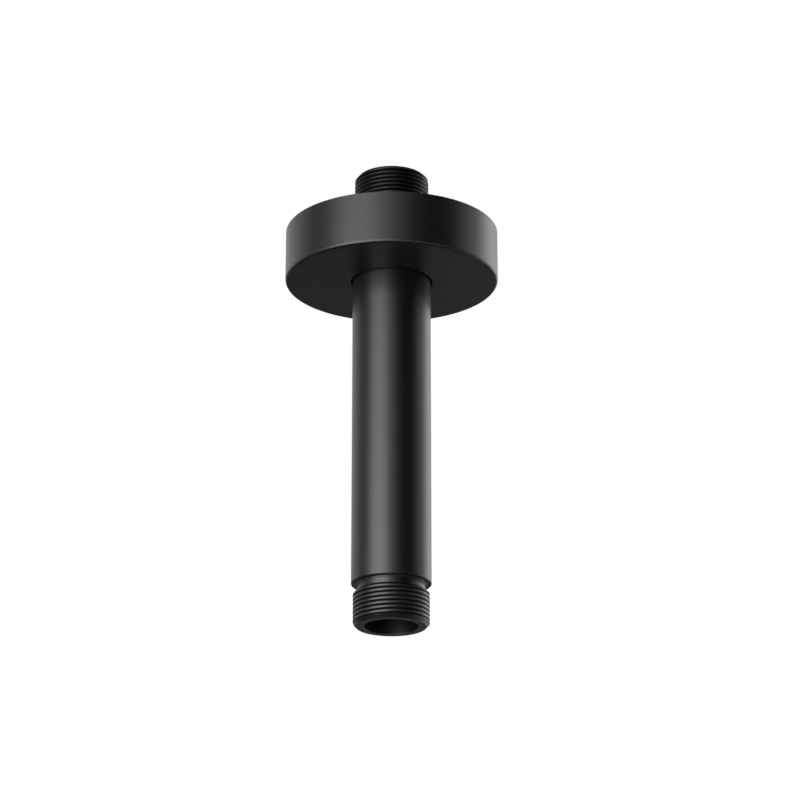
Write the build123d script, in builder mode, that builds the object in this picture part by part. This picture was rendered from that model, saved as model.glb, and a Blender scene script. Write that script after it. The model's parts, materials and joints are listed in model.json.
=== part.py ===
"""Straight ceiling shower arm: a turned pipe with a male thread at each end,
and a loose round cover flange that a rubber ring holds on the pipe.

Millimetres. The origin is on the pipe's axis, at the ceiling. +Z points up into
the ceiling, and the arm hangs down along -Z. The thread is a fine helical groove
in the threaded ends, which have their full outer diameter here.
"""

import os

from build123d import *

os.makedirs("parts", exist_ok=True)

# Pipe, from the ceiling at z = 0 down to the outlet
pipe_diameter = 22.0
waterway_diameter = 15.0
outlet_drop = 115.5  # ceiling to the outlet's end face
shoulder_edge_break = 0.1

# Threaded ends, G 1/2: one turned form on both, in two lengths
thread_diameter = 20.955
thread_end_chamfer = 0.9
mouth_edge_break = 0.15
outlet_end_length = 12.0  # shoulder to end face
ceiling_end_rise = 17.0  # ceiling to the upper end face
ceiling_shoulder_depth = 3.5  # upper shoulder below the ceiling, hidden in the flange

# Relief neck between a shoulder and its thread
neck_diameter = 18.6
neck_fillet = 0.25  # the tool's nose, where the neck meets the shoulder
neck_length = 2.0  # shoulder to the foot of the run-in cone
run_in_length = 0.9  # height of the cone that leads up to the thread

# Cover flange: a turned cup, open to the ceiling, with a short hub round the pipe
flange_diameter = 60.0
flange_height = 15.0
rim_thickness = 2.5
floor_thickness = 3.0
hub_diameter = 31.0
hub_height = 7.5  # underside of the flange to the top of the hub
pipe_gap = 0.35  # radial, between the pipe and the hole in the flange
hole_edge_fillet = 0.5
lower_edge_fillet = 0.8
rim_edge_break = 0.1
cup_corner_fillet = 2.0
hub_foot_fillet = 1.0
hub_top_chamfer = 0.5

# Rubber ring, squeezed between the pipe and a groove in the hub
ring_thickness = 2.3  # radial
ring_height = 3.0
ring_corner_fillet = 1.0
ring_clearance = 0.03  # radial, at the pipe and at the bottom of the groove
ring_end_play = 0.1  # above and below the ring
groove_height_in_hub = 1.9  # underside of the flange to the groove

pipe_radius = pipe_diameter / 2
neck_radius = neck_diameter / 2
thread_radius = thread_diameter / 2
waterway_radius = waterway_diameter / 2
outlet_z = -outlet_drop
outlet_shoulder_z = outlet_z + outlet_end_length
ceiling_shoulder_z = -ceiling_shoulder_depth
turned_ends = [(outlet_shoulder_z, outlet_z), (ceiling_shoulder_z, ceiling_end_rise)]


def end_corners(shoulder_z, end_z):
    """Gives a threaded end's corners, from the pipe's wall to the waterway."""
    away = 1 if end_z > shoulder_z else -1
    run_in_z = shoulder_z + away * neck_length
    return [
        (pipe_radius, shoulder_z),
        (neck_radius, shoulder_z),
        (neck_radius, run_in_z),
        (thread_radius, run_in_z + away * run_in_length),
        (thread_radius, end_z),
        (waterway_radius, end_z),
    ]


def corner_at(profile, radius, z):
    """Finds the profile's corner at a radius and height."""
    return profile.vertices().sort_by_distance((radius, z))[0]


# The pipe is turned from one bar: wall, shoulders, necks, threaded ends and bore
with BuildPart() as arm_tube:
    with BuildSketch(Plane.XZ) as pipe_profile:
        with BuildLine():
            outlet_corners, ceiling_corners = [end_corners(*end) for end in turned_ends]
            Polyline(*outlet_corners, *reversed(ceiling_corners), close=True)
        make_face()
        for shoulder_z, end_z in turned_ends:
            chamfer(corner_at(pipe_profile, pipe_radius, shoulder_z), shoulder_edge_break)
            fillet(corner_at(pipe_profile, neck_radius, shoulder_z), neck_fillet)
            chamfer(corner_at(pipe_profile, thread_radius, end_z), thread_end_chamfer)
            chamfer(corner_at(pipe_profile, waterway_radius, end_z), mouth_edge_break)
    revolve(axis=Axis.Z)

arm_tube.part.label = "arm_tube"
export_step(arm_tube.part, "parts/arm_tube.step")

underside_z = -flange_height
floor_z = underside_z + floor_thickness
hub_top_z = underside_z + hub_height
hole_radius = pipe_radius + pipe_gap
hub_radius = hub_diameter / 2
rim_outer_radius = flange_diameter / 2
rim_inner_radius = rim_outer_radius - rim_thickness
groove_radius = pipe_radius + ring_thickness + 2 * ring_clearance
groove_low_z = underside_z + groove_height_in_hub
groove_high_z = groove_low_z + ring_height + 2 * ring_end_play

# The flange is a cup with a hub, bored for the pipe and grooved for the ring
with BuildPart() as ceiling_flange:
    with BuildSketch(Plane.XZ) as cup_profile:
        with BuildLine():
            Polyline(
                (hole_radius, underside_z),
                (rim_outer_radius, underside_z),
                (rim_outer_radius, 0),
                (rim_inner_radius, 0),
                (rim_inner_radius, floor_z),
                (hub_radius, floor_z),
                (hub_radius, hub_top_z),
                (hole_radius, hub_top_z),
                (hole_radius, groove_high_z),
                (groove_radius, groove_high_z),
                (groove_radius, groove_low_z),
                (hole_radius, groove_low_z),
                close=True,
            )
        make_face()
        fillet(corner_at(cup_profile, hole_radius, underside_z), hole_edge_fillet)
        fillet(corner_at(cup_profile, rim_outer_radius, underside_z), lower_edge_fillet)
        fillet(corner_at(cup_profile, rim_inner_radius, floor_z), cup_corner_fillet)
        fillet(corner_at(cup_profile, hub_radius, floor_z), hub_foot_fillet)
        chamfer(corner_at(cup_profile, rim_outer_radius, 0), rim_edge_break)
        chamfer(corner_at(cup_profile, rim_inner_radius, 0), rim_edge_break)
        chamfer(corner_at(cup_profile, hub_radius, hub_top_z), hub_top_chamfer)
        chamfer(corner_at(cup_profile, hole_radius, hub_top_z), hub_top_chamfer)
    revolve(axis=Axis.Z)

ceiling_flange.part.label = "ceiling_flange"
export_step(ceiling_flange.part, "parts/ceiling_flange.step")

# The ring is squeezed from round to an oblong section with full corners
ring_middle_radius = pipe_radius + ring_clearance + ring_thickness / 2
ring_middle_z = (groove_low_z + groove_high_z) / 2

with BuildPart() as flange_o_ring:
    with BuildSketch(Plane.XZ):
        with Locations((ring_middle_radius, ring_middle_z)):
            RectangleRounded(ring_thickness, ring_height, ring_corner_fillet)
    revolve(axis=Axis.Z)

flange_o_ring.part.label = "flange_o_ring"
export_step(flange_o_ring.part, "parts/flange_o_ring.step")
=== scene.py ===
"""Looks of a straight ceiling shower arm: a pipe with a thread cut on each end,
a round cover flange and the rubber ring that holds the flange on the pipe.

Lengths are in metres, angles in degrees. +Z points up into the ceiling, which is
at z = 0, and the photograph's view looks along +Y.
"""

import json
import math

import bmesh
import bpy
from bpy.props import FloatProperty, FloatVectorProperty, IntProperty, PointerProperty
from bpy.types import Operator, Panel, PropertyGroup
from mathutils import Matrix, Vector


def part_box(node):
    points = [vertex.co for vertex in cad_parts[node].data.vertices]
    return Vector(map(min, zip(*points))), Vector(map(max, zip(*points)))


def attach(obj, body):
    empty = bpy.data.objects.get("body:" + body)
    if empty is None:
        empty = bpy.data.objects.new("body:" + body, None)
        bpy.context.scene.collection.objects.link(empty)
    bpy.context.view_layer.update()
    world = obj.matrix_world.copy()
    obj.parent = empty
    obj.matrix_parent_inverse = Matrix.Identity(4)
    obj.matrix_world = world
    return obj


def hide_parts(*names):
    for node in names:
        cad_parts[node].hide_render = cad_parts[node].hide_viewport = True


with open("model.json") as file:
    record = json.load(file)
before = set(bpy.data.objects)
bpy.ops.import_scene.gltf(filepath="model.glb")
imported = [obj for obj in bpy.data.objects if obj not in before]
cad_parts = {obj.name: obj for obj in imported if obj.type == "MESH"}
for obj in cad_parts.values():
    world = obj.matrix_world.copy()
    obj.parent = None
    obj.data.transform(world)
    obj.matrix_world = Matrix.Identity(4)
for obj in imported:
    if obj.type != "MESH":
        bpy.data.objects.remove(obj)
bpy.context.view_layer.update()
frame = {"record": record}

bl_info = {
    "name": "Ceiling Shower Arm",
    "version": (1, 0, 0),
    "blender": (4, 5, 0),
    "location": "View3D > Sidebar > Shower Arm",
    "description": "Builds the pipe with its threads, the cover flange, the rubber ring and a studio",
    "category": "Object",
}

MM = 0.001

# Sizes that the frame gives
MOUNTS = {mount["name"]: mount for mount in frame["record"]["mounts"]}
THREAD_RADIUS = MOUNTS["ceiling_thread"]["dims"]["r_mm"] * MM
PIPE_LOW, PIPE_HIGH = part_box("arm_tube")
PIPE_RADIUS = PIPE_HIGH.x
FLANGE_LOW, FLANGE_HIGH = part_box("ceiling_flange")
RING_LOW, RING_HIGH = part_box("flange_o_ring")

# How the pieces' meshes are finished
ARC_STEPS = 8
SHADING_SUPPORT = 0.12 * MM  # from a bend to the point that keeps a straight run's shading flat
SUPPORTED_RUN = 0.48 * MM  # a shorter run goes without
WELD_DISTANCE = 0.001 * MM
SHARP_ANGLE = 32
PHOTOGRAPHED_SIDE = 0.75  # in turns round the axis from +X, so towards -Y

# Camera of the photograph's view, with its lens in millimetres and its picture in pixels
CAMERA_PLACE = (0, -0.77718, -0.33402)
CAMERA_RISE = 20.069
CAMERA_ROLL = 0.06
LENS = 133.78
FILM_WIDTH = 36
PICTURE_WIDTH = 800
PICTURE_SHIFT = 8.5

# Studio
LIT_PLACE = Vector((0, 0, -0.05))  # which the softboxes face
SOFTBOX_DISTANCE = 0.8
SOFTBOX_POWER = 4  # watts of a softbox per square metre at a radiance of 1
SURROUND_LIGHT = 0.1  # strength at which the surround lights the arm
SURROUND_SEEN = 1.0  # strength at which the lens and reflections see it
FLOOR_HEIGHT = -1.0
FLOOR_REACH = 40
FLOOR_GLOW = 0.85  # share of the seen floor that stays light by itself
FADE_START, FADE_END = 3.5, 8.0  # distances at which the floor turns white


def linear(colour):
    """Turns an sRGB colour's hex text into a linear colour with alpha."""
    parts = [int(colour[i : i + 2], 16) / 255 for i in (1, 3, 5)]
    return (*(c / 12.92 if c <= 0.04045 else ((c + 0.055) / 1.055) ** 2.4 for c in parts), 1.0)


class PipeSettings(PropertyGroup):
    """Sizes of the turned pipe that the frame doesn't give."""

    waterway: FloatProperty(
        name="Waterway", description="Diameter of the bore", default=15 * MM, unit="LENGTH"
    )
    outlet_end: FloatProperty(
        name="Outlet end", description="Outlet's end face to its shoulder",
        default=12 * MM, unit="LENGTH",
    )
    ceiling_shoulder: FloatProperty(
        name="Ceiling shoulder", description="Depth of the upper shoulder below the ceiling",
        default=3.5 * MM, unit="LENGTH",
    )
    neck: FloatProperty(
        name="Neck", description="Diameter of the relief necks", default=18.6 * MM, unit="LENGTH"
    )
    neck_fillet: FloatProperty(
        name="Neck fillet", description="Hollow between a neck and its shoulder",
        default=0.25 * MM, unit="LENGTH",
    )
    neck_length: FloatProperty(
        name="Neck length", description="Shoulder to the foot of the run-in cone",
        default=2 * MM, unit="LENGTH",
    )
    run_in: FloatProperty(
        name="Run-in", description="Height of the cone that leads up to the thread",
        default=0.9 * MM, unit="LENGTH",
    )
    end_chamfer: FloatProperty(
        name="End chamfer", description="Chamfer on the threaded ends",
        default=0.9 * MM, unit="LENGTH",
    )
    edge_round: FloatProperty(
        name="Edge round", description="Radius of the broken edges under the coating",
        default=0.1 * MM, unit="LENGTH",
    )
    mouth_round: FloatProperty(
        name="Mouth round", description="Rounding of the waterway's two mouths",
        default=0.15 * MM, unit="LENGTH",
    )
    pitch: FloatProperty(
        name="Pitch", description="Rise of the thread in one turn", default=1.205 * MM, unit="LENGTH"
    )
    thread_angle: FloatProperty(
        name="Thread angle", description="Angle between a groove's flanks",
        default=math.radians(60), subtype="ANGLE",
    )
    outlet_groove: FloatProperty(
        name="Outlet groove", description="Width of the outlet thread's groove at the crest",
        default=0.66 * MM, unit="LENGTH",
    )
    outlet_turn: FloatProperty(
        name="Outlet turn", description="Height of a groove on the photographed side",
        default=-110.7 * MM, unit="LENGTH",
    )
    ceiling_groove: FloatProperty(
        name="Ceiling groove", description="Width of the ceiling thread's groove at the crest",
        default=1.01 * MM, unit="LENGTH",
    )
    ceiling_turn: FloatProperty(
        name="Ceiling turn", description="Height of a groove on the photographed side",
        default=13.08 * MM, unit="LENGTH",
    )
    rows_per_turn: IntProperty(
        name="Rows per turn", description="Rows of faces in one pitch of the thread", default=12
    )
    level_rows: IntProperty(
        name="Level rows", description="Rows of faces on a run-in cone or an end chamfer", default=16
    )
    segments: IntProperty(name="Segments", description="Faces round the pipe", default=240)


class FlangeSettings(PropertyGroup):
    """Sizes of the cover flange and the rubber ring that the frame doesn't give."""

    rim: FloatProperty(
        name="Rim", description="Thickness of the rim", default=2.5 * MM, unit="LENGTH"
    )
    floor: FloatProperty(
        name="Floor", description="Thickness of the flat underside", default=3 * MM, unit="LENGTH"
    )
    hub: FloatProperty(
        name="Hub", description="Diameter of the hub", default=31 * MM, unit="LENGTH"
    )
    hub_height: FloatProperty(
        name="Hub height", description="Underside to the top of the hub",
        default=7.5 * MM, unit="LENGTH",
    )
    hub_chamfer: FloatProperty(
        name="Hub chamfer", description="Chamfer on the hub's two upper edges",
        default=0.5 * MM, unit="LENGTH",
    )
    pipe_gap: FloatProperty(
        name="Pipe gap", description="Gap between the pipe and the hole all round",
        default=0.35 * MM, unit="LENGTH",
    )
    hole_round: FloatProperty(
        name="Hole round", description="Rounding of the hole's lower edge",
        default=0.5 * MM, unit="LENGTH",
    )
    lower_round: FloatProperty(
        name="Lower round", description="Rounding of the rim's lower edge",
        default=0.8 * MM, unit="LENGTH",
    )
    upper_round: FloatProperty(
        name="Upper round", description="Rounding of the rim's upper edges",
        default=0.1 * MM, unit="LENGTH",
    )
    cup_round: FloatProperty(
        name="Cup round", description="Hollow between the rim and the floor",
        default=2 * MM, unit="LENGTH",
    )
    hub_foot: FloatProperty(
        name="Hub foot", description="Hollow between the hub and the floor",
        default=1 * MM, unit="LENGTH",
    )
    groove_play: FloatProperty(
        name="Groove play", description="Room above and below the rubber ring",
        default=0.1 * MM, unit="LENGTH",
    )
    ring_gap: FloatProperty(
        name="Ring gap", description="Room between the rubber ring and the groove's bottom",
        default=0.03 * MM, unit="LENGTH",
    )
    ring_round: FloatProperty(
        name="Ring round", description="Rounding of the squeezed ring's corners",
        default=1 * MM, unit="LENGTH",
    )
    segments: IntProperty(name="Segments", description="Faces round the flange", default=288)


class FinishSettings(PropertyGroup):
    """Colours of the finishes and of the studio."""

    coating: FloatVectorProperty(
        name="Coating", description="Matt black coating on the brass",
        subtype="COLOR", size=4, default=linear("#050505"), min=0, max=1,
    )
    shine: FloatVectorProperty(
        name="Shine", description="Tint of the coating's highlights",
        subtype="COLOR", size=4, default=linear("#fffcff"), min=0, max=1,
    )
    rubber: FloatVectorProperty(
        name="Rubber", description="Black rubber ring",
        subtype="COLOR", size=4, default=linear("#121212"), min=0, max=1,
    )
    floor: FloatVectorProperty(
        name="Floor", description="Studio floor",
        subtype="COLOR", size=4, default=linear("#f6f6f6"), min=0, max=1,
    )


def add(tree, kind, settings=None, inputs=None):
    """Adds a node with its settings, and with a value or another node for each input."""
    node = tree.nodes.new(kind)
    for name, value in (settings or {}).items():
        setattr(node, name, value)
    for name, value in (inputs or {}).items():
        if isinstance(value, bpy.types.Node):
            value = value.outputs[0]
        if isinstance(value, bpy.types.NodeSocket):
            tree.links.new(value, node.inputs[name])
        else:
            node.inputs[name].default_value = value
    return node


def new_tree(name, inputs):
    """Starts a geometry tree with named inputs, and gives it with its input node's sockets."""
    tree = bpy.data.node_groups.new(name, "GeometryNodeTree")
    for label, kind in inputs.items():
        tree.interface.new_socket(label, in_out="INPUT", socket_type=kind)
    tree.interface.new_socket("Geometry", in_out="OUTPUT", socket_type="NodeSocketGeometry")
    return tree, add(tree, "NodeGroupInput").outputs


def grid_of_turns(tree, rows, segments):
    """Adds a grid whose columns go round the axis.

    Gives the grid, and for each point its row, its turns round the axis and its angle.
    """
    points = add(tree, "FunctionNodeIntegerMath", {"operation": "ADD"}, {0: rows, 1: 1})
    columns = add(tree, "FunctionNodeIntegerMath", {"operation": "ADD"}, {0: segments, 1: 1})
    grid = add(tree, "GeometryNodeMeshGrid", None, {"Vertices X": columns, "Vertices Y": points})
    index = add(tree, "GeometryNodeInputIndex")
    row = add(tree, "FunctionNodeIntegerMath", {"operation": "MODULO"}, {0: index, 1: points})
    column = add(tree, "FunctionNodeIntegerMath", {"operation": "DIVIDE_FLOOR"}, {0: index, 1: points})
    turned = add(tree, "ShaderNodeMath", {"operation": "DIVIDE"}, {0: column, 1: segments})
    angle = add(tree, "ShaderNodeMath", {"operation": "MULTIPLY"}, {0: turned, 1: math.tau})
    return grid, row, turned, angle


def place_round_axis(tree, grid, point, angle):
    """Moves each point of the grid to its place in the XZ plane, turned by its angle."""
    place = add(
        tree, "ShaderNodeVectorRotate", {"rotation_type": "Z_AXIS"}, {"Vector": point, "Angle": angle}
    )
    return add(tree, "GeometryNodeSetPosition", None, {"Geometry": grid, "Position": place})


def lathe_tree():
    """Turns some points of an outline, which lies in the XZ plane, round the Z axis."""
    tree, given = new_tree("Lathe", {
        "Outline": "NodeSocketGeometry",
        "First Point": "NodeSocketInt",
        "Runs": "NodeSocketInt",
        "Segments": "NodeSocketInt",
    })
    grid, row, _, angle = grid_of_turns(tree, given["Runs"], given["Segments"])
    point = add(
        tree, "FunctionNodeIntegerMath", {"operation": "ADD"}, {0: row, 1: given["First Point"]}
    )
    position = add(tree, "GeometryNodeInputPosition")
    sample = add(
        tree, "GeometryNodeSampleIndex", {"data_type": "FLOAT_VECTOR"},
        {"Geometry": given["Outline"], "Value": position, "Index": point},
    )
    turned = place_round_axis(tree, grid, sample, angle)
    add(tree, "NodeGroupOutput", None, {"Geometry": turned})


def thread_tree():
    """Makes the outside of a threaded end: run-in cone, helical groove and end chamfer.

    Rows of the grid lie level on the cone and on the chamfer. Between them they climb
    with the helix, so that the groove's edges follow it, and are held at both limits.
    """
    length = "NodeSocketFloat"
    tree, given = new_tree("Threaded End", {
        "Neck Radius": length,
        "Thread Radius": length,
        "End Radius": length,
        "Thread Height": length,
        "Chamfer Height": length,
        "Cone Rise": length,
        "Chamfer Rise": length,
        "Helix Height": length,
        "Row Rise": length,
        "Helix Rows": "NodeSocketInt",
        "Level Rows": "NodeSocketInt",
        "Pitch": length,
        "Groove Height": length,
        "Groove Width": length,
        "Groove Depth": length,
        "Segments": "NodeSocketInt",
    })
    before_chamfer = add(
        tree, "FunctionNodeIntegerMath", {"operation": "ADD"},
        {0: given["Level Rows"], 1: given["Helix Rows"]},
    )
    rows = add(
        tree, "FunctionNodeIntegerMath", {"operation": "ADD"},
        {0: before_chamfer, 1: given["Level Rows"]},
    )
    grid, row, turned, angle = grid_of_turns(tree, rows, given["Segments"])

    climb = add(
        tree, "ShaderNodeMath", {"operation": "MULTIPLY_ADD"},
        {0: turned, 1: given["Pitch"], 2: given["Helix Height"]},
    )
    helix_row = add(tree, "ShaderNodeMath", {"operation": "SUBTRACT"}, {0: row, 1: given["Level Rows"]})
    helix = add(
        tree, "ShaderNodeMath", {"operation": "MULTIPLY_ADD"},
        {0: helix_row, 1: given["Row Rise"], 2: climb},
    )
    threaded = add(
        tree, "ShaderNodeClamp", {"clamp_type": "RANGE"},
        {"Value": helix, "Min": given["Thread Height"], "Max": given["Chamfer Height"]},
    )
    below_cone = add(tree, "ShaderNodeMath", {"operation": "MULTIPLY"}, {0: given["Cone Rise"], 1: -1.0})
    on_cone = add(tree, "ShaderNodeMapRange", None, {
        "Value": row,
        "From Min": 0.0,
        "From Max": given["Level Rows"],
        "To Min": below_cone,
        "To Max": 0.0,
    })
    on_chamfer = add(tree, "ShaderNodeMapRange", None, {
        "Value": row,
        "From Min": before_chamfer,
        "From Max": rows,
        "To Min": 0.0,
        "To Max": given["Chamfer Rise"],
    })
    level = add(tree, "ShaderNodeMath", {"operation": "ADD"}, {0: on_cone, 1: on_chamfer})
    height = add(tree, "ShaderNodeMath", {"operation": "ADD"}, {0: threaded, 1: level})

    cone = add(tree, "ShaderNodeMapRange", None, {
        "Value": on_cone,
        "From Min": below_cone,
        "From Max": 0.0,
        "To Min": given["Neck Radius"],
        "To Max": given["Thread Radius"],
    })
    chamfer = add(tree, "ShaderNodeMapRange", None, {
        "Value": on_chamfer,
        "From Min": 0.0,
        "From Max": given["Chamfer Rise"],
        "To Min": given["Thread Radius"],
        "To Max": given["End Radius"],
    })

    off_groove = add(
        tree, "ShaderNodeMath", {"operation": "SUBTRACT"}, {0: height, 1: given["Groove Height"]}
    )
    turns_up = add(tree, "ShaderNodeMath", {"operation": "DIVIDE"}, {0: off_groove, 1: given["Pitch"]})
    phase = add(tree, "ShaderNodeMath", {"operation": "SUBTRACT"}, {0: turns_up, 1: turned})
    aside = add(tree, "ShaderNodeMath", {"operation": "PINGPONG"}, {0: phase, 1: 0.5})
    distance = add(tree, "ShaderNodeMath", {"operation": "MULTIPLY"}, {0: aside, 1: given["Pitch"]})
    half_width = add(
        tree, "ShaderNodeMath", {"operation": "MULTIPLY"}, {0: given["Groove Width"], 1: 0.5}
    )
    root = add(
        tree, "ShaderNodeMath", {"operation": "SUBTRACT"},
        {0: given["Thread Radius"], 1: given["Groove Depth"]},
    )
    flank = add(tree, "ShaderNodeMapRange", None, {
        "Value": distance,
        "From Min": 0.0,
        "From Max": half_width,
        "To Min": root,
        "To Max": given["Thread Radius"],
    })

    outside = add(tree, "ShaderNodeMath", {"operation": "MINIMUM"}, {0: cone, 1: chamfer})
    radius = add(tree, "ShaderNodeMath", {"operation": "MINIMUM"}, {0: outside, 1: flank})
    point = add(tree, "ShaderNodeCombineXYZ", None, {"X": radius, "Z": height})
    turned_end = place_round_axis(tree, grid, point, angle)
    add(tree, "NodeGroupOutput", None, {"Geometry": turned_end})


def finish_tree(tree, shells, material):
    """Welds the shells, keeps their edges sharp, and ends the tree with its material."""
    joined = add(tree, "GeometryNodeJoinGeometry")
    for shell in shells:
        tree.links.new(shell.outputs[0], joined.inputs["Geometry"])
    welded = add(
        tree, "GeometryNodeMergeByDistance", None, {"Geometry": joined, "Distance": WELD_DISTANCE}
    )
    smooth = add(tree, "GeometryNodeSetShadeSmooth", {"domain": "FACE"}, {"Geometry": welded})
    fold = add(tree, "GeometryNodeInputMeshEdgeAngle")
    sharp = add(
        tree, "ShaderNodeMath", {"operation": "GREATER_THAN"}, {0: fold, 1: math.radians(SHARP_ANGLE)}
    )
    creased = add(
        tree, "GeometryNodeSetShadeSmooth", {"domain": "EDGE"},
        {"Geometry": smooth, "Selection": sharp, "Shade Smooth": False},
    )
    real = add(tree, "GeometryNodeRealizeInstances", None, {"Geometry": creased})
    finished = add(tree, "GeometryNodeSetMaterial", None, {"Geometry": real, "Material": material})
    add(tree, "NodeGroupOutput", None, {"Geometry": finished})


def rounded(corners):
    """Draws an outline's points from its corners, each (radius, height, rounding).

    A rounded corner becomes an arc. A straight run gets a point close to each end.
    """
    bends = []
    for i, (radius, height, rounding) in enumerate(corners):
        here = Vector((radius, height))
        if not rounding or i in (0, len(corners) - 1):
            bends.append([here])
            continue
        back = (Vector(corners[i - 1][:2]) - here).normalized()
        ahead = (Vector(corners[i + 1][:2]) - here).normalized()
        half = back.angle(ahead) / 2
        centre = here + (back + ahead).normalized() * rounding / math.sin(half)
        first = here + back * rounding / math.tan(half) - centre
        last = here + ahead * rounding / math.tan(half) - centre
        sweep = first.angle_signed(last)
        turns = [sweep * step / ARC_STEPS for step in range(ARC_STEPS + 1)]
        bends.append([
            centre + Vector((
                first.x * math.cos(turn) + first.y * math.sin(turn),
                first.y * math.cos(turn) - first.x * math.sin(turn),
            ))
            for turn in turns
        ])
    points = list(bends[0])
    for bend in bends[1:]:
        run = bend[0] - points[-1]
        if run.length > SUPPORTED_RUN:
            inset = run.normalized() * SHADING_SUPPORT
            points += [points[-1] + inset, bend[0] - inset]
        points += bend
    return points


def outline_mesh(name, points):
    """Makes a mesh of bare points in the XZ plane, for a tree to turn."""
    mesh = bpy.data.meshes.new(name)
    mesh.from_pydata([(p.x, 0, p.y) for p in points], [], [])
    return mesh


def piece_from_tree(name, tree, points, values):
    """Runs a tree on an outline and gives the result as a plain mesh object."""
    piece = bpy.data.objects.new(name, outline_mesh(name, points))
    bpy.context.scene.collection.objects.link(piece)
    modifier = piece.modifiers.new(tree.name, "NODES")
    modifier.node_group = tree
    for socket in tree.interface.items_tree:
        if socket.name in values:
            modifier[socket.identifier] = values[socket.name]
    depsgraph = bpy.context.evaluated_depsgraph_get()
    mesh = bpy.data.meshes.new_from_object(piece.evaluated_get(depsgraph))
    mesh.name = name
    piece.modifiers.clear()
    piece.data = mesh
    shell = bmesh.new()
    shell.from_mesh(mesh)
    if any(not edge.is_manifold for edge in shell.edges):
        raise RuntimeError(f"{name} isn't closed")
    bmesh.ops.recalc_face_normals(shell, faces=shell.faces)
    shell.to_mesh(mesh)
    shell.free()
    return piece


def new_material(name):
    """Starts a material with an empty node tree, and gives both."""
    material = bpy.data.materials.new(name)
    material.use_nodes = True
    material.node_tree.nodes.clear()
    return material, material.node_tree


def black_coating():
    """Matt black powder coating on turned brass, baked to a thin, even, slightly pebbled skin.

    It hides the metal, so the eye gets a soft, broad highlight and bright grazing edges.
    """
    pebble_width = 0.9 * MM
    pebble_height = 0.01 * MM
    cloud_width = 7 * MM
    material, tree = new_material("matt_black_powder_coating")
    place = add(tree, "ShaderNodeTexCoord").outputs["Object"]
    pebble = add(
        tree, "ShaderNodeTexNoise", None,
        {"Vector": place, "Scale": 1 / pebble_width, "Detail": 2.0, "Roughness": 0.5},
    )
    bump = add(
        tree, "ShaderNodeBump", None,
        {"Height": pebble, "Strength": 0.08, "Distance": pebble_height},
    )
    cloud = add(
        tree, "ShaderNodeTexNoise", None,
        {"Vector": place, "Scale": 1 / cloud_width, "Detail": 3.0, "Roughness": 0.6},
    )
    gloss = add(tree, "ShaderNodeMapRange", None, {
        "Value": cloud,
        "From Min": 0.3,
        "From Max": 0.7,
        "To Min": 0.37,
        "To Max": 0.39,
    })
    colours = bpy.context.scene.shower_arm_finish
    surface = add(tree, "ShaderNodeBsdfPrincipled", None, {
        "Base Color": colours.coating,
        "Specular Tint": colours.shine,
        "Roughness": gloss,
        "IOR": 1.5,
        "Normal": bump,
    })
    add(tree, "ShaderNodeOutputMaterial", None, {"Surface": surface})
    return material


def black_rubber():
    """Moulded black nitrile rubber: dull, with the fine grain of a sand-blasted mould.

    The grain is drawn coarser than a real one, so that it shows.
    """
    grain_width = 0.3 * MM
    grain_height = 0.02 * MM
    material, tree = new_material("moulded_black_nitrile_rubber")
    place = add(tree, "ShaderNodeTexCoord").outputs["Object"]
    grain = add(
        tree, "ShaderNodeTexNoise", None,
        {"Vector": place, "Scale": 1 / grain_width, "Detail": 2.0},
    )
    bump = add(
        tree, "ShaderNodeBump", None,
        {"Height": grain, "Strength": 0.3, "Distance": grain_height},
    )
    colours = bpy.context.scene.shower_arm_finish
    surface = add(tree, "ShaderNodeBsdfPrincipled", None, {
        "Base Color": colours.rubber,
        "Roughness": 0.7,
        "IOR": 1.52,
        "Normal": bump,
    })
    add(tree, "ShaderNodeOutputMaterial", None, {"Surface": surface})
    return material


def threaded_end(tree, given, settings, shoulder, end, width, seen_groove):
    """Adds the threaded end between a shoulder and an end face to the pipe's tree.

    The seen groove is a groove's height on the photographed side. The helix starts a
    whole number of turns from it, far enough before the thread for its rows to cover
    the thread on every side of the pipe.
    """
    away = 1 if end > shoulder else -1
    pitch = settings.pitch
    start = shoulder + away * (settings.neck_length + settings.run_in)
    stop = end - away * settings.end_chamfer
    groove = seen_groove - PHOTOGRAPHED_SIDE * pitch
    turns_to_start = (start - groove) / pitch
    if away > 0:
        helix = groove + (math.floor(turns_to_start) - 1) * pitch
        turns = math.ceil((stop - helix) / pitch)
    else:
        helix = groove + math.ceil(turns_to_start) * pitch
        turns = math.ceil((helix - stop) / pitch) + 1
    return add(tree, "GeometryNodeGroup", {"node_tree": bpy.data.node_groups["Threaded End"]}, {
        "Neck Radius": given["Neck Radius"],
        "Thread Radius": THREAD_RADIUS,
        "End Radius": given["End Radius"],
        "Thread Height": start,
        "Chamfer Height": stop,
        "Cone Rise": away * settings.run_in,
        "Chamfer Rise": away * settings.end_chamfer,
        "Helix Height": helix,
        "Row Rise": away * pitch / settings.rows_per_turn,
        "Helix Rows": turns * settings.rows_per_turn,
        "Level Rows": settings.level_rows,
        "Pitch": given["Pitch"],
        "Groove Height": groove,
        "Groove Width": width,
        "Groove Depth": width / 2 / math.tan(settings.thread_angle / 2),
        "Segments": given["Segments"],
    })


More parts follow.
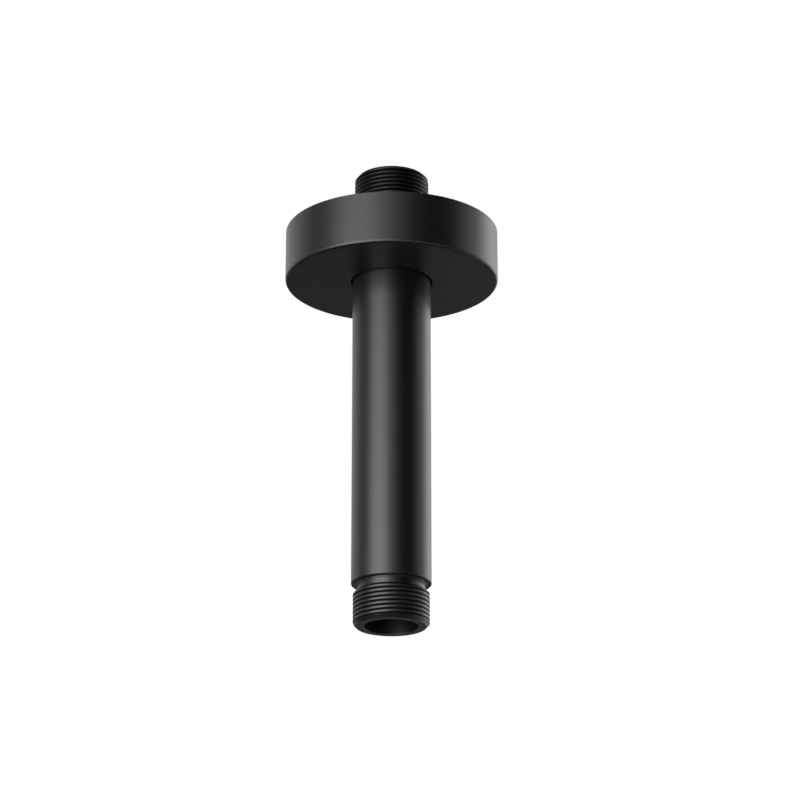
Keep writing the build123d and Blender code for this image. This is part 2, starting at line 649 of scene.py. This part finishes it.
class SHOWERARM_OT_pipe(Operator):
    """Build the turned pipe with its waterway, shoulders, necks and threads"""

    bl_idname = "shower_arm.pipe"
    bl_label = "Turned pipe"

    def execute(self, context):
        sizes = context.scene.shower_arm_pipe
        bore = sizes.waterway / 2
        neck = sizes.neck / 2
        end = THREAD_RADIUS - sizes.end_chamfer
        low_shoulder = PIPE_LOW.z + sizes.outlet_end
        high_shoulder = -sizes.ceiling_shoulder
        edge = sizes.edge_round
        waterway = rounded([
            (end, PIPE_LOW.z, 0),
            (bore, PIPE_LOW.z, sizes.mouth_round),
            (bore, PIPE_HIGH.z, sizes.mouth_round),
            (end, PIPE_HIGH.z, 0),
        ])
        wall = rounded([
            (neck, low_shoulder - sizes.neck_length, 0),
            (neck, low_shoulder, sizes.neck_fillet),
            (PIPE_RADIUS, low_shoulder, edge),
            (PIPE_RADIUS, high_shoulder, edge),
            (neck, high_shoulder, sizes.neck_fillet),
            (neck, high_shoulder + sizes.neck_length, 0),
        ])
        tree, given = new_tree("Turned Pipe", {
            "Outline": "NodeSocketGeometry",
            "Neck Radius": "NodeSocketFloat",
            "End Radius": "NodeSocketFloat",
            "Pitch": "NodeSocketFloat",
            "Segments": "NodeSocketInt",
        })
        shells = [
            add(tree, "GeometryNodeGroup", {"node_tree": bpy.data.node_groups["Lathe"]}, {
                "Outline": given["Outline"],
                "First Point": first,
                "Runs": count - 1,
                "Segments": given["Segments"],
            })
            for first, count in ((0, len(waterway)), (len(waterway), len(wall)))
        ]
        shells.append(threaded_end(
            tree, given, sizes, low_shoulder, PIPE_LOW.z, sizes.outlet_groove, sizes.outlet_turn
        ))
        shells.append(threaded_end(
            tree, given, sizes, high_shoulder, PIPE_HIGH.z, sizes.ceiling_groove, sizes.ceiling_turn
        ))
        finish_tree(tree, shells, black_coating())
        pipe = piece_from_tree("threaded_pipe", tree, waterway + wall, {
            "Neck Radius": neck,
            "End Radius": end,
            "Pitch": sizes.pitch,
            "Segments": sizes.segments,
        })
        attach(pipe, "arm")
        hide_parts("arm_tube")
        return {"FINISHED"}


def turned_piece(name, points, segments, material):
    """Turns one closed outline into a piece."""
    tree, given = new_tree(name, {"Outline": "NodeSocketGeometry", "Segments": "NodeSocketInt"})
    shell = add(tree, "GeometryNodeGroup", {"node_tree": bpy.data.node_groups["Lathe"]}, {
        "Outline": given["Outline"],
        "First Point": 0,
        "Runs": len(points) - 1,
        "Segments": given["Segments"],
    })
    finish_tree(tree, [shell], material)
    return piece_from_tree(name, tree, points, {"Segments": segments})


class SHOWERARM_OT_flange(Operator):
    """Build the round cover flange with its rim, hub and ring groove"""

    bl_idname = "shower_arm.flange"
    bl_label = "Cover flange"

    def execute(self, context):
        sizes = context.scene.shower_arm_flange
        under, top = FLANGE_LOW.z, FLANGE_HIGH.z
        outer = FLANGE_HIGH.x
        inner = outer - sizes.rim
        floor = under + sizes.floor
        hub = sizes.hub / 2
        hub_top = under + sizes.hub_height
        hole = PIPE_RADIUS + sizes.pipe_gap
        groove = RING_HIGH.x + sizes.ring_gap
        groove_low = RING_LOW.z - sizes.groove_play
        groove_high = RING_HIGH.z + sizes.groove_play
        middle = (inner + hub) / 2
        flange = turned_piece("cover_flange", rounded([
            (middle, floor, 0),
            (hub, floor, sizes.hub_foot),
            (hub, hub_top - sizes.hub_chamfer, sizes.upper_round),
            (hub - sizes.hub_chamfer, hub_top, sizes.upper_round),
            (hole + sizes.hub_chamfer, hub_top, sizes.upper_round),
            (hole, hub_top - sizes.hub_chamfer, sizes.upper_round),
            (hole, groove_high, 0),
            (groove, groove_high, 0),
            (groove, groove_low, 0),
            (hole, groove_low, 0),
            (hole, under, sizes.hole_round),
            (outer, under, sizes.lower_round),
            (outer, top, sizes.upper_round),
            (inner, top, sizes.upper_round),
            (inner, floor, sizes.cup_round),
            (middle, floor, 0),
        ]), sizes.segments, bpy.data.materials["matt_black_powder_coating"])
        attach(flange, "flange")
        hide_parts("ceiling_flange")
        return {"FINISHED"}


class SHOWERARM_OT_ring(Operator):
    """Build the squeezed rubber ring that holds the flange on the pipe"""

    bl_idname = "shower_arm.ring"
    bl_label = "Rubber ring"

    def execute(self, context):
        sizes = context.scene.shower_arm_flange
        inner = PIPE_RADIUS + sizes.ring_gap
        outer = RING_HIGH.x
        low, high = RING_LOW.z, RING_HIGH.z
        middle = (inner + outer) / 2
        ring = turned_piece("rubber_ring", rounded([
            (middle, low, 0),
            (outer, low, sizes.ring_round),
            (outer, high, sizes.ring_round),
            (inner, high, sizes.ring_round),
            (inner, low, sizes.ring_round),
            (middle, low, 0),
        ]), sizes.segments, black_rubber())
        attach(ring, "grip_ring")
        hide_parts("flange_o_ring")
        return {"FINISHED"}


def softbox(name, azimuth, elevation, width, height, radiance):
    """Places a softbox round the arm. Azimuth 0 is the camera's side, positive to its right."""
    turn, rise = math.radians(azimuth), math.radians(elevation)
    towards = Vector((
        math.sin(turn) * math.cos(rise),
        -math.cos(turn) * math.cos(rise),
        math.sin(rise),
    ))
    data = bpy.data.lights.new(name, "AREA")
    data.shape = "RECTANGLE"
    data.size, data.size_y = width, height
    data.energy = radiance * SOFTBOX_POWER * width * height
    light = bpy.data.objects.new(name, data)
    light.location = LIT_PLACE + towards * SOFTBOX_DISTANCE
    light.rotation_euler = towards.to_track_quat("Z", "Y").to_euler()
    bpy.context.scene.collection.objects.link(light)


def stage_sheet(name, corners, material):
    """Adds a flat four-cornered sheet to the stage."""
    mesh = bpy.data.meshes.new(name)
    mesh.from_pydata(corners, [], [(0, 1, 2, 3)])
    mesh.materials.append(material)
    sheet = bpy.data.objects.new(name, mesh)
    bpy.context.scene.collection.objects.link(sheet)
    return sheet


def level_sheet(near, far, height):
    """Gives the corners of a level sheet between two opposite corners on plan."""
    return [(*near, height), (far[0], near[1], height), (*far, height), (near[0], far[1], height)]


def upright(start, end, low, high):
    """Gives the corners of an upright sheet that stands between two places on plan."""
    return [(*start, low), (*end, low), (*end, high), (*start, high)]


def mirrored_card(name, corners, colour):
    """Hangs a card that only reflections see, to darken or lift one side of the pieces."""
    material, tree = new_material(name)
    felt = add(tree, "ShaderNodeBsdfDiffuse", None, {"Color": linear(colour)})
    add(tree, "ShaderNodeOutputMaterial", None, {"Surface": felt})
    card = stage_sheet(name, corners, material)
    card.visible_camera = False
    card.visible_shadow = False
    card.visible_diffuse = False


def seen_and_mirrored(tree):
    """Gives 1 for rays from the camera and for reflections and refractions, else 0."""
    path = add(tree, "ShaderNodeLightPath").outputs
    first = add(
        tree, "ShaderNodeMath", {"operation": "MAXIMUM"},
        {0: path["Is Camera Ray"], 1: path["Is Glossy Ray"]},
    )
    return add(
        tree, "ShaderNodeMath", {"operation": "MAXIMUM"}, {0: first, 1: path["Is Transmission Ray"]}
    )


def floor_paint():
    """Pale matt studio paint, which stays light to the lens and in reflections.

    Far from the arm it turns into the white of the surround, as a studio's sweep does.
    """
    material, tree = new_material("pale_matt_studio_paint")
    colour = bpy.context.scene.shower_arm_finish.floor
    matt = add(tree, "ShaderNodeBsdfDiffuse", None, {"Color": colour})
    glow = add(tree, "ShaderNodeEmission", None, {"Color": colour, "Strength": 1.0})
    seen = seen_and_mirrored(tree)
    share = add(tree, "ShaderNodeMath", {"operation": "MULTIPLY"}, {0: seen, 1: FLOOR_GLOW})
    near = add(tree, "ShaderNodeMixShader", None, {"Fac": share, 1: matt, 2: glow})
    far = add(tree, "ShaderNodeEmission", None, {"Color": (1, 1, 1, 1), "Strength": seen})
    place = add(tree, "ShaderNodeTexCoord").outputs["Object"]
    reach = add(tree, "ShaderNodeVectorMath", {"operation": "LENGTH"}, {0: place}).outputs["Value"]
    fade = add(
        tree, "ShaderNodeMapRange", {"interpolation_type": "SMOOTHSTEP"},
        {"Value": reach, "From Min": FADE_START, "From Max": FADE_END},
    )
    surface = add(tree, "ShaderNodeMixShader", None, {"Fac": fade.outputs["Result"], 1: near, 2: far})
    add(tree, "ShaderNodeOutputMaterial", None, {"Surface": surface})
    return material


# Each card's name, corners and colour
CARDS = (
    ("low_card", level_sheet((-0.8, -0.35), (2.2, 2.2), -0.6), "#808080"),
    ("low_back_card", level_sheet((-0.9, -0.15), (0.9, 1.1), -0.59), "#050505"),
    ("low_left_card", level_sheet((-0.5, -0.2), (-0.1, 0.1), -0.45), "#a0a0a0"),
    ("low_right_card", level_sheet((0.26, -0.3), (0.8, 0.4), -0.45), "#ffffff"),
    ("top_card", level_sheet((-0.6, -0.05), (0.6, 0.6), 0.45), "#909090"),
    ("left_card", upright((-0.78, -0.63), (-0.96, 0.24), -0.6, 0.8), "#dcdcdc"),
    ("front_card", upright((0.10, -0.55), (0.54, -0.13), -0.18, 0.5), "#181818"),
    ("back_card", upright((0.36, 1.0), (-0.53, 1.0), -0.6, -0.06), "#a8a8a8"),
    ("horizon_card", upright((0, 0.5), (-0.6, 0.5), -0.12, 0.04), "#050505"),
)


class SHOWERARM_OT_studio(Operator):
    """Set up the camera, the softboxes, the white surround, the pale floor and the cards"""

    bl_idname = "shower_arm.studio"
    bl_label = "Studio"

    def execute(self, context):
        scene = context.scene
        scene.view_settings.view_transform = "Standard"

        lens = bpy.data.cameras.new("photo_camera")
        lens.sensor_width = FILM_WIDTH
        lens.lens = LENS
        lens.shift_x = PICTURE_SHIFT / PICTURE_WIDTH
        camera = bpy.data.objects.new("photo_camera", lens)
        camera.location = CAMERA_PLACE
        camera.rotation_euler = (math.radians(90 + CAMERA_RISE), 0, 0)
        camera.rotation_euler.rotate_axis("Z", math.radians(CAMERA_ROLL))
        scene.collection.objects.link(camera)
        scene.camera = camera

        softbox("left_softbox", azimuth=-37.5, elevation=-8, width=0.8, height=1.0, radiance=4.05)
        softbox("right_softbox", azimuth=128, elevation=-7, width=0.5, height=1.33, radiance=1.33)

        world = bpy.data.worlds.new("white_surround")
        world.use_nodes = True
        tree = world.node_tree
        tree.nodes.clear()
        strength = add(tree, "ShaderNodeMapRange", None, {
            "Value": seen_and_mirrored(tree),
            "To Min": SURROUND_LIGHT,
            "To Max": SURROUND_SEEN,
        })
        surround = add(
            tree, "ShaderNodeBackground", None,
            {"Color": (1, 1, 1, 1), "Strength": strength},
        )
        add(tree, "ShaderNodeOutputWorld", None, {"Surface": surround})
        scene.world = world

        near, far = (-FLOOR_REACH, -FLOOR_REACH), (FLOOR_REACH, FLOOR_REACH)
        stage_sheet("studio_floor", level_sheet(near, far, FLOOR_HEIGHT), floor_paint())
        for name, corners, colour in CARDS:
            mirrored_card(name, corners, colour)
        return {"FINISHED"}


class SHOWERARM_PT_panel(Panel):
    """Lists the arm's sizes and the pieces to build"""

    bl_idname = "SHOWERARM_PT_panel"
    bl_label = "Ceiling Shower Arm"
    bl_space_type = "VIEW_3D"
    bl_region_type = "UI"
    bl_category = "Shower Arm"

    def draw(self, context):
        for label, settings in (
            ("Pipe", context.scene.shower_arm_pipe),
            ("Flange", context.scene.shower_arm_flange),
            ("Finish", context.scene.shower_arm_finish),
        ):
            box = self.layout.box()
            box.label(text=label)
            for name in settings.__annotations__:
                box.prop(settings, name)
        for operator in OPERATORS:
            self.layout.operator(operator.bl_idname)


SETTINGS = {
    "shower_arm_pipe": PipeSettings,
    "shower_arm_flange": FlangeSettings,
    "shower_arm_finish": FinishSettings,
}
OPERATORS = (
    SHOWERARM_OT_pipe,
    SHOWERARM_OT_flange,
    SHOWERARM_OT_ring,
    SHOWERARM_OT_studio,
)


def register():
    for name, settings in SETTINGS.items():
        bpy.utils.register_class(settings)
        setattr(bpy.types.Scene, name, PointerProperty(type=settings))
    for cls in (*OPERATORS, SHOWERARM_PT_panel):
        bpy.utils.register_class(cls)


def unregister():
    for cls in reversed((*OPERATORS, SHOWERARM_PT_panel)):
        bpy.utils.unregister_class(cls)
    for name, settings in SETTINGS.items():
        delattr(bpy.types.Scene, name)
        bpy.utils.unregister_class(settings)


def main():
    register()
    lathe_tree()
    thread_tree()
    bpy.ops.shower_arm.pipe()
    bpy.ops.shower_arm.flange()
    bpy.ops.shower_arm.ring()
    bpy.ops.shower_arm.studio()


if __name__ == "__main__":
    main()
